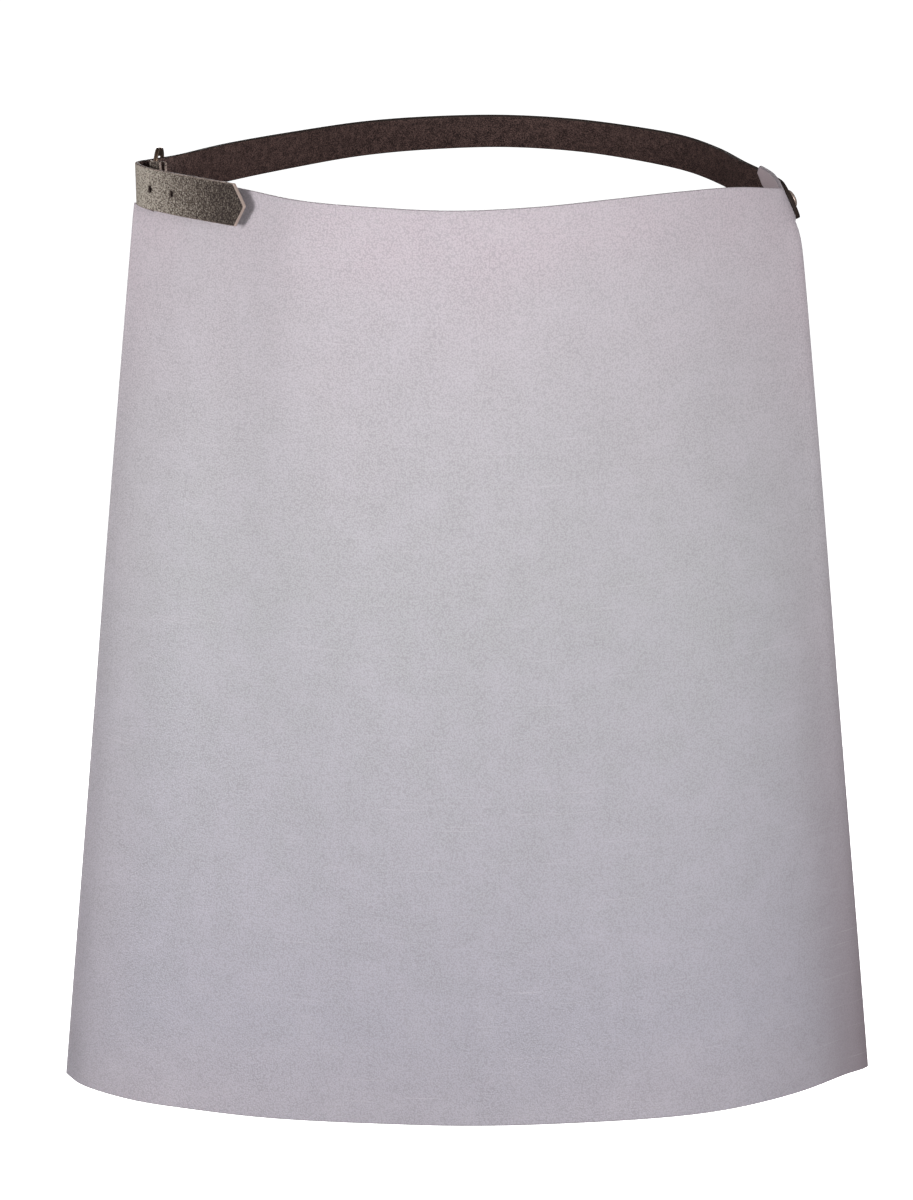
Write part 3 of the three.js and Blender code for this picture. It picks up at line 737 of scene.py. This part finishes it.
STRAP_PUNCH = 2.4
PRONG_HOLE_MIDDLE, PRONG_HOLE_HALF = 0.6, 0.3  # of the prong's reach
holes = []
for place_along, half in (
    (STRAP_RIVET_ALONG, (RIVET_SHANK + GAP, RIVET_SHANK + GAP)),
    (heel_on_strap + HOLES_FROM_HEEL[0], HOLE_HALF),
    (heel_on_strap + HOLES_FROM_HEEL[1], HOLE_HALF),
):
    middle = strap_leather.at(place_along, half_strap)[0]
    wide = strap_leather.at(place_along + 1, half_strap)[0] - middle
    holes.append((middle, strap_leather.out(place_along, half_strap)[0], wide, (*half, STRAP_PUNCH)))
prong_way = prong_at(prong_reach) - prong_at(0)
prong_hole = (PRONG_RADIUS + GAP, PRONG_RADIUS + GAP, PRONG_HOLE_HALF * prong_reach)
holes.append((prong_at(PRONG_HOLE_MIDDLE * prong_reach), prong_way, upward, prong_hole))
punch_holes(waist_strap, holes, strap_material)
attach(waist_strap, "root")
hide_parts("waist_strap")

# Buckle chape
# A short strip of the same harness leather, folded round the heel bar with its dyed side inward and slotted in
# the fold for the prong. Its two legs grip the panel's corner, and their tongues are riveted through it.
CHAPE_LEG = 10.5
CHAPE_TONGUE = (3.1, 10)
CHAPE_SHOULDER = 1.2
CHAPE_SLOT_END = 3.8
CHAPE_SLOT_HEIGHT = 3.8
CHAPE_RIVET_ALONG = 6.8
CHAPE_STEP, CHAPE_ACROSS_STEP = 0.9, 1.2
LOOP_STEPS = 10
loop = BAR / 2 + GAP + CHAPE_THICKNESS / 2
leg = PANEL_THICKNESS / 2 + GAP + CHAPE_THICKNESS / 2
turns = [(i / LOOP_STEPS - 0.5) * math.pi for i in range(LOOP_STEPS + 1)]
fold = [(CHAPE_LEG, -leg), (CHAPE_LEG / 2, -leg)]
fold += [(-loop * math.cos(turn), loop * math.sin(turn)) for turn in turns]
fold += [(CHAPE_LEG / 2, leg), (CHAPE_LEG, leg)]
chape_leather = BentLeather(
    [at_buckle(ahead_by, out_by, CHAPE_WIDTH / 2) for ahead_by, out_by in fold],
    [at_buckle(ahead_by, out_by, -CHAPE_WIDTH / 2) for ahead_by, out_by in fold],
)
slot_start = CHAPE_LEG - CHAPE_SLOT_END
shoulder = CHAPE_TONGUE[0] + CHAPE_SHOULDER
along = spaced([0, CHAPE_TONGUE[0], shoulder, slot_start, chape_leather.length / 2], CHAPE_STEP)
along = np.concatenate([along, chape_leather.length - along[-2::-1]])
slot_top = (CHAPE_WIDTH - CHAPE_SLOT_HEIGHT) / 2
width_share = spaced([0, slot_top, CHAPE_WIDTH - slot_top, CHAPE_WIDTH], CHAPE_ACROSS_STEP) / CHAPE_WIDTH
from_end = np.minimum(along, chape_leather.length - along)
narrowing = (CHAPE_WIDTH - CHAPE_TONGUE[1]) / 2 * np.clip((shoulder - from_end) / CHAPE_SHOULDER, 0, 1)
levels = narrowing[:, None] + (CHAPE_WIDTH - 2 * narrowing)[:, None] * width_share
middle_along = (along[:-1] + along[1:])[:, None] / 2
middle_share = (width_share[:-1] + width_share[1:]) / 2 * CHAPE_WIDTH
in_slot = (np.minimum(middle_along, chape_leather.length - middle_along) > slot_start) & (
    np.abs(middle_share - CHAPE_WIDTH / 2) < CHAPE_SLOT_HEIGHT / 2
)
buckle_chape = cut_sheet(
    "buckle_chape_leather",
    chape_leather,
    along,
    levels,
    ~in_slot,
    CHAPE_THICKNESS,
    {"rubbed": ((0, chape_leather.length / 2, chape_leather.length), (0, 0.3, 0)), "stained": ((0,), (0.5,))},
)
CHAPE_PUNCH = 6
rivet_hole = (RIVET_SHANK + GAP, RIVET_SHANK + GAP, CHAPE_PUNCH)
punch_holes(buckle_chape, [(at_buckle(CHAPE_RIVET_ALONG, 0, 0), outward, ahead, rivet_hole)], strap_material)
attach(buckle_chape, "root")
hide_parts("buckle_chape")

# Buckle frame
# A stamped plate of brown plated brass with one opening: a slim heel bar, a slim outer bar and broad rounded
# ends. Its corners were tumbled smooth, and rubbing has worn the brown plating paler on its rims.
FRAME_MIDDLE = 0.15
FRAME_WINDOW = 27.2
FRAME_END = 5.2
FRAME_CORNER = 10
FRAME_WINDOW_CORNER = 1.5
FRAME_ROUNDING = 0.75
CORNER_STEPS = 12
SIDE_STEPS = 8
BAR_CORNER_STEPS = 4


def rounded_outline(left, right, half_height, corner):
    """Points round a rectangle with rounded corners, anticlockwise, with steps on its straight sides."""
    centres = (
        (right - corner, corner - half_height),
        (right - corner, half_height - corner),
        (left + corner, half_height - corner),
        (left + corner, corner - half_height),
    )
    arcs = []
    for quarter, centre in enumerate(centres):
        angle = np.linspace(quarter - 1, quarter, CORNER_STEPS + 1) * math.pi / 2
        arcs.append(np.array(centre) + corner * np.stack([np.cos(angle), np.sin(angle)], axis=1))
    points = []
    for arc, following in zip(arcs, arcs[1:] + arcs[:1]):
        side = np.linspace(arc[-1], following[0], SIDE_STEPS + 1)[1:-1]
        points.extend([*arc, *side])
    return np.array(points)


rim_out = rounded_outline(-BAR / 2, FRAME_LENGTH + BAR / 2, FRAME_WINDOW / 2 + FRAME_END, FRAME_CORNER)
rim_in = rounded_outline(BAR / 2, FRAME_LENGTH - BAR / 2, FRAME_WINDOW / 2, FRAME_WINDOW_CORNER)
middle, half_bar = (rim_out + rim_in) / 2, (rim_out - rim_in) / 2
section, rim_share = [], []
for quarter in range(4):
    corner = math.pi / 4 + quarter * math.pi / 2
    for angle in np.linspace(quarter, quarter + 1, BAR_CORNER_STEPS + 1) * math.pi / 2:
        section.append((math.copysign(1, math.cos(corner)), math.copysign(1, math.sin(corner)), angle))
        rim_share.append(1 - abs(angle - corner) / (math.pi / 4))
places = []
for point, half in zip(middle, half_bar):
    wide = np.linalg.norm(half)
    for across, thick, angle in section:
        flat = point + half / wide * (across * (wide - FRAME_ROUNDING) + FRAME_ROUNDING * math.cos(angle))
        rise = thick * (BAR / 2 - FRAME_ROUNDING) + FRAME_ROUNDING * math.sin(angle)
        ahead_by = flat[0] * math.cos(bar_angle) - rise * math.sin(bar_angle)
        out_by = flat[0] * math.sin(bar_angle) + rise * math.cos(bar_angle)
        places.append(at_buckle(ahead_by, out_by, FRAME_MIDDLE + flat[1]) * MM)
count, around = len(section), len(middle)
faces = []
for i in range(around):
    for j in range(count):
        step, turn = (i + 1) % around, (j + 1) % count
        faces.append((i * count + j, step * count + j, step * count + turn, i * count + turn))
frame_mesh = bpy.data.meshes.new("buckle_frame_plate")
frame_mesh.from_pydata([p.tolist() for p in places], [], faces)
frame_mesh.shade_smooth()
frame_mesh.attributes.new("rim", "FLOAT", "POINT").data.foreach_set("value", rim_share * around)

# Brown plated brass, tumbled and dulled by handling: blurred warm reflections, fine pits and paler rubbed rims
PIT = 0.7
TARNISH = 6
PLATING = "#7d6454"
PLATING_DARK = "#4e3d34"
PLATING_RUBBED = "#c2ab98"
frame_material, tree = new_material("brown_plated_brass")
place = node(tree, "ShaderNodeTexCoord").outputs["Object"]
rim = node(tree, "ShaderNodeAttribute", attribute_name="rim").outputs["Fac"]
tarnish, pit = (
    node(
        tree, "ShaderNodeTexNoise", {"Vector": place, "Scale": per_metre(size), "Detail": detail}
    ).outputs["Fac"]
    for size, detail in ((TARNISH, 4.0), (PIT, 2.0))
)
dull = node(tree, "ShaderNodeMapRange", {0: tarnish, 1: 0.35, 2: 0.65, 3: 0.0, 4: 1.0}).outputs[0]
bare = node(tree, "ShaderNodeMath", {0: rim, 1: pit}, operation="MULTIPLY").outputs[0]
bare = node(tree, "ShaderNodeMapRange", {0: bare, 1: 0.2, 2: 0.5, 3: 0.0, 4: 0.9}).outputs[0]
colour = linear(PLATING)
for share, hue in ((dull, PLATING_DARK), (bare, PLATING_RUBBED)):
    colour = node(tree, "ShaderNodeMix", {0: share, 6: colour, 7: linear(hue)}, data_type="RGBA").outputs[2]
gloss = node(tree, "ShaderNodeMapRange", {0: tarnish, 1: 0.3, 2: 0.7, 3: 0.32, 4: 0.55}).outputs[0]
bump = node(tree, "ShaderNodeBump", {"Height": pit, "Strength": 0.25, "Distance": 0.1 * MM}).outputs[0]
surface = node(
    tree,
    "ShaderNodeBsdfPrincipled",
    {"Base Color": colour, "Metallic": 0.9, "Roughness": gloss, "Normal": bump},
).outputs[0]
node(tree, "ShaderNodeOutputMaterial", {"Surface": surface})
frame_mesh.materials.append(frame_material)
buckle_frame = add_object("buckle_frame_plate", frame_mesh)
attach(buckle_frame, "root")
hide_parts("buckle_frame")

# Buckle prong
# A length of round brass wire, curled round the heel bar inside the chape's slot. It goes through the strap
# and rests on the outer bar with its rounded tip just past it.
CURL_RADIUS = 0.85
CURL_TURN = math.radians(300)
STRAIGHT_AFTER = 9
TIP_RADIUS = 0.75
TIP_LENGTH = 3
CURL_STEPS, STRAIGHT_STEPS, WIRE_SIDES = 32, 23, 20
curl = BAR / 2 + GAP + CURL_RADIUS
path, radii = [], []
for turn in np.linspace(CURL_TURN, 0, CURL_STEPS + 1):
    angle = prong_angle - math.pi / 2 - turn
    path.append(at_buckle(curl * math.cos(angle), curl * math.sin(angle), 0))
    radii.append(CURL_RADIUS)
radius_places = (0, STRAIGHT_AFTER, prong_reach - TIP_LENGTH, prong_reach)
radius_there = (CURL_RADIUS, PRONG_RADIUS, PRONG_RADIUS, TIP_RADIUS)
for distance in np.linspace(0, prong_reach, STRAIGHT_STEPS + 1)[1:]:
    aside = curl * max(0, 1 - distance / STRAIGHT_AFTER) ** 2 * (1 + 2 * distance / STRAIGHT_AFTER)
    beside = at_buckle(aside * math.sin(prong_angle), -aside * math.cos(prong_angle), 0) - heel
    path.append(prong_at(distance) + beside)
    radii.append(np.interp(distance, radius_places, radius_there))

# Drawn wire: a tree that sweeps a round section along a path
drawing, given = new_tree("drawn_wire", {"Path": "Geometry", "Wire sides": "Int", "Material": "Material"})
way = node(drawing, "GeometryNodeMeshToCurve", {"Mesh": given["Path"]}).outputs[0]
thick = node(drawing, "GeometryNodeInputNamedAttribute", {"Name": "wire_radius"}, data_type="FLOAT").outputs[0]
ring = node(
    drawing, "GeometryNodeCurvePrimitiveCircle", {"Resolution": given["Wire sides"], "Radius": 1.0}
).outputs[0]
swept = node(
    drawing,
    "GeometryNodeCurveToMesh",
    {"Curve": way, "Profile Curve": ring, "Scale": thick, "Fill Caps": True},
).outputs[0]
smooth = node(drawing, "GeometryNodeSetShadeSmooth", {"Geometry": swept}).outputs[0]
end_tree(drawing, smooth, given["Material"])


def row_mesh(name, places):
    """A mesh of places in mm, each joined to the next."""
    mesh = bpy.data.meshes.new(name)
    joins = [(i, i + 1) for i in range(len(places) - 1)]
    mesh.from_pydata([(np.array(place) * MM).tolist() for place in places], joins, [])
    return mesh


prong_mesh = row_mesh("buckle_prong_wire", path)
prong_mesh.attributes.new("wire_radius", "FLOAT", "POINT").data.foreach_set("value", [r * MM for r in radii])
buckle_prong = add_object("buckle_prong_wire", prong_mesh)
through_tree(buckle_prong, drawing, {"Wire sides": WIRE_SIDES, "Material": frame_material})
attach(buckle_prong, "root")
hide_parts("buckle_prong")

# Rivets
# Two tubular steel rivets, plated and dulled to a pale pinkish grey: a domed cap, a shank and a flat peened
# tail. One holds the chape on the panel's corner, the other holds the strap's end on the right ear.
CAP_RIM = 0.3
TAIL_HOLLOW = (0.6, 0.9)  # the hollow's inner and outer radius, of the shank's
TAIL_STEPS, RIM_STEPS, DOME_STEPS, RIVET_SIDES = 4, 3, 12, 40
WELD = 0.001

# A turned rivet: a tree that spins a profile round its axis and sets it on its seat
turning, given = new_tree(
    "turned_rivet",
    {
        "Profile": "Geometry",
        "Profile points": "Int",
        "Sides": "Int",
        "Seat": "Vector",
        "Turn": "Vector",
        "Material": "Material",
    },
)
points = given["Profile points"]
columns = node(turning, "ShaderNodeMath", {0: given["Sides"], 1: 1.0}, operation="ADD").outputs[0]
net = node(turning, "GeometryNodeMeshGrid", {"Vertices X": columns, "Vertices Y": points}).outputs["Mesh"]
index = node(turning, "GeometryNodeInputIndex").outputs[0]
on_profile = node(turning, "ShaderNodeMath", {0: index, 1: points}, operation="MODULO").outputs[0]
column = node(turning, "ShaderNodeMath", {0: index, 1: points}, operation="DIVIDE").outputs[0]
column = node(turning, "ShaderNodeMath", {0: column}, operation="FLOOR").outputs[0]
share = node(turning, "ShaderNodeMath", {0: column, 1: given["Sides"]}, operation="DIVIDE").outputs[0]
angle = node(turning, "ShaderNodeMath", {0: share, 1: 2 * math.pi}, operation="MULTIPLY").outputs[0]
position = node(turning, "GeometryNodeInputPosition").outputs[0]
sampled = node(
    turning,
    "GeometryNodeSampleIndex",
    {"Geometry": given["Profile"], "Value": position, "Index": on_profile},
    data_type="FLOAT_VECTOR",
).outputs[0]
spun = node(
    turning, "ShaderNodeVectorRotate", {"Vector": sampled, "Angle": angle}, rotation_type="Z_AXIS"
).outputs[0]
body = node(turning, "GeometryNodeSetPosition", {"Geometry": net, "Position": spun}).outputs[0]
climb = node(turning, "ShaderNodeMath", {0: on_profile, 1: points}, operation="DIVIDE").outputs[0]
body = node(
    turning, "GeometryNodeStoreNamedAttribute", {"Geometry": body, "Name": "climb", "Value": climb}
).outputs[0]
body = node(turning, "GeometryNodeMergeByDistance", {"Geometry": body, "Distance": WELD * MM}).outputs[0]
body = node(
    turning,
    "GeometryNodeTransform",
    {"Geometry": body, "Translation": given["Seat"], "Rotation": given["Turn"]},
).outputs[0]
body = node(turning, "GeometryNodeSetShadeSmooth", {"Geometry": body}).outputs[0]
end_tree(turning, body, given["Material"])

# Nickel-plated steel, dulled: a soft pinkish sheen, faint dimples and grey patches, and a painted dark
# reflection over its crown
DIMPLE = 1.6
NICKEL = "#d8c3b8"
NICKEL_DULL = "#a8948b"
CROWN_DARK_REFLECTION = "#2b211e"
rivet_material, tree = new_material("dulled_nickel_plate")
place = node(tree, "ShaderNodeTexCoord").outputs["Object"]
dimple = node(
    tree, "ShaderNodeTexNoise", {"Vector": place, "Scale": per_metre(DIMPLE), "Detail": 3.0}
).outputs["Fac"]
dull = node(tree, "ShaderNodeMapRange", {0: dimple, 1: 0.4, 2: 0.65, 3: 0.0, 4: 1.0}).outputs[0]
climb = node(tree, "ShaderNodeAttribute", attribute_name="climb").outputs["Fac"]
dark_reflection = node(tree, "ShaderNodeMapRange", {0: climb, 1: 0.68, 2: 0.73, 3: 0.0, 4: 0.9}).outputs[0]
colour = linear(NICKEL)
for share, hue in ((dull, NICKEL_DULL), (dark_reflection, CROWN_DARK_REFLECTION)):
    colour = node(tree, "ShaderNodeMix", {0: share, 6: colour, 7: linear(hue)}, data_type="RGBA").outputs[2]
gloss = node(tree, "ShaderNodeMapRange", {0: dimple, 1: 0.3, 2: 0.7, 3: 0.3, 4: 0.5}).outputs[0]
bump = node(tree, "ShaderNodeBump", {"Height": dimple, "Strength": 0.2, "Distance": 0.2 * MM}).outputs[0]
surface = node(
    tree,
    "ShaderNodeBsdfPrincipled",
    {"Base Color": colour, "Metallic": 0.6, "Roughness": gloss, "Normal": bump},
).outputs[0]
node(tree, "ShaderNodeOutputMaterial", {"Surface": surface})

between = -(PANEL_THICKNESS + EAR_GAP + GAP) / 2
# name, node, grip between cap and tail, cap radius and height, tail radius and height, seat and axis
RIVETS = (
    (
        "chape_rivet_nickel",
        "chape_rivet",
        PANEL_THICKNESS + 2 * CHAPE_THICKNESS + 4 * GAP,
        (3.2, 1.0),
        (3.0, 0.9),
        at_buckle(CHAPE_RIVET_ALONG, 0, 0),
        outward,
    ),
    (
        "strap_rivet_nickel",
        "strap_rivet",
        PANEL_THICKNESS + STRAP_THICKNESS + EAR_GAP + 4 * GAP,
        (5.5, 2.4),
        (3.7, 0.9),
        strap_leather.at(STRAP_RIVET_ALONG, half_strap, between)[0],
        strap_leather.out(STRAP_RIVET_ALONG, half_strap)[0],
    ),
)
for name, cad_node, grip, (cap_radius, cap_height), (tail_radius, tail_height), seat, axis in RIVETS:
    half = grip / 2
    tail, hollow = -half - tail_height, -half - tail_height + CAP_RIM
    profile = [(0, hollow), (RIVET_SHANK * TAIL_HOLLOW[0], hollow), (RIVET_SHANK * TAIL_HOLLOW[1], tail)]
    for turn in np.linspace(0, math.pi / 2, TAIL_STEPS + 1):
        profile.append((tail_radius - CAP_RIM + CAP_RIM * math.sin(turn), hollow - CAP_RIM * math.cos(turn)))
    profile += [(tail_radius, -half), (RIVET_SHANK, -half), (RIVET_SHANK, half), (cap_radius - CAP_RIM, half)]
    for turn in np.linspace(0, math.pi / 2, RIM_STEPS + 1)[1:]:
        rim_radius = cap_radius - CAP_RIM + CAP_RIM * math.sin(turn)
        profile.append((rim_radius, half + CAP_RIM - CAP_RIM * math.cos(turn)))
    for turn in np.linspace(0, math.pi / 2, DOME_STEPS + 1)[1:]:
        profile.append((cap_radius * math.cos(turn), half + CAP_RIM + (cap_height - CAP_RIM) * math.sin(turn)))
    profile[-1] = (0, half + cap_height)
    rivet = add_object(name, row_mesh(name, [(r, 0, h) for r, h in profile]))
    values = {
        "Profile points": len(profile),
        "Sides": RIVET_SIDES,
        "Seat": (seat * MM).tolist(),
        "Turn": Vector(axis).to_track_quat("Z", "Y").to_euler(),
        "Material": rivet_material,
    }
    through_tree(rivet, turning, values)
    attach(rivet, "root")
    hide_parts(cad_node)

# Floor and light
# A plain pale studio floor at standing height below the waist, turned up far away into a pale wall. It glows
# like a light table, so that it is even and sends no shade or tint to the apron. Soft lamps light the apron.
FLOOR = 30
FLOOR_LEVEL = -1.0
WALL_TOP = 25
FLOOR_PAINT = "#f7f7f7"
FLOOR_GLOW = "#fdfdfd"
floor_mesh = bpy.data.meshes.new("studio_floor")
corners = ((-FLOOR, -FLOOR), (FLOOR, -FLOOR), (FLOOR, FLOOR), (-FLOOR, FLOOR))
walls = [((k + 1) % 4, k, k + 4, (k + 1) % 4 + 4) for k in range(4)]
floor_mesh.from_pydata(
    [(x, y, z) for z in (FLOOR_LEVEL, WALL_TOP) for x, y in corners], [], [(0, 1, 2, 3), *walls]
)
floor = add_object("studio_floor", floor_mesh)
floor_material, tree = new_material("matt_white_paint")
surface = node(
    tree,
    "ShaderNodeBsdfPrincipled",
    {
        "Base Color": linear(FLOOR_PAINT),
        "Roughness": 0.9,
        "Emission Color": linear(FLOOR_GLOW),
        "Emission Strength": 1.0,
    },
).outputs[0]
node(tree, "ShaderNodeOutputMaterial", {"Surface": surface})
floor_mesh.materials.append(floor_material)
floor.visible_diffuse = floor.visible_glossy = False

world = bpy.data.worlds.new("pale_room")
world.use_nodes = True
tree = world.node_tree
tree.nodes.clear()
ROOM = "#fdfdff"
CEILING = (-0.25, -0.35, 0.9)  # where the room is brightest
CEILING_LIGHT = 0.16
CEILING_FADE = 2.0
ROOM_LIGHT = 0.06
way = node(tree, "ShaderNodeTexCoord").outputs["Generated"]
towards = node(tree, "ShaderNodeVectorMath", {0: way, 1: CEILING}, operation="DOT_PRODUCT").outputs["Value"]
towards = node(tree, "ShaderNodeMath", {0: towards, 1: 0.0}, operation="MAXIMUM").outputs[0]
bright = node(tree, "ShaderNodeMath", {0: towards, 1: CEILING_FADE}, operation="POWER").outputs[0]
bright = node(
    tree, "ShaderNodeMath", {0: bright, 1: CEILING_LIGHT, 2: ROOM_LIGHT}, operation="MULTIPLY_ADD"
).outputs[0]
sky = node(tree, "ShaderNodeBackground", {"Color": linear(ROOM), "Strength": bright}).outputs[0]
node(tree, "ShaderNodeOutputWorld", {"Surface": sky})
bpy.context.scene.world = world

# name, place, size and watts of each lamp, all turned to the panel's middle
LAMPS = (
    ("left_lamp", (-1.0, -0.8, 0.1), 0.4, 11),
    ("right_lamp", (0.9, -1.3, 0.3), 0.8, 22),
    ("low_lamp", (0.0, -1.8, -0.5), 0.6, 5),
    ("back_lamp", (-0.4, 2.2, 0.3), 0.9, 40),
)
AIM = Vector((0, -0.05, -0.25))
for name, spot, size, watts in LAMPS:
    lamp_data = bpy.data.lights.new(name, "AREA")
    lamp_data.size = size
    lamp_data.energy = watts
    lamp = add_object(name, lamp_data)
    lamp.location = spot
    lamp.rotation_euler = (AIM - Vector(spot)).to_track_quat("-Z", "Y").to_euler()
bpy.context.scene.view_settings.view_transform = "Standard"
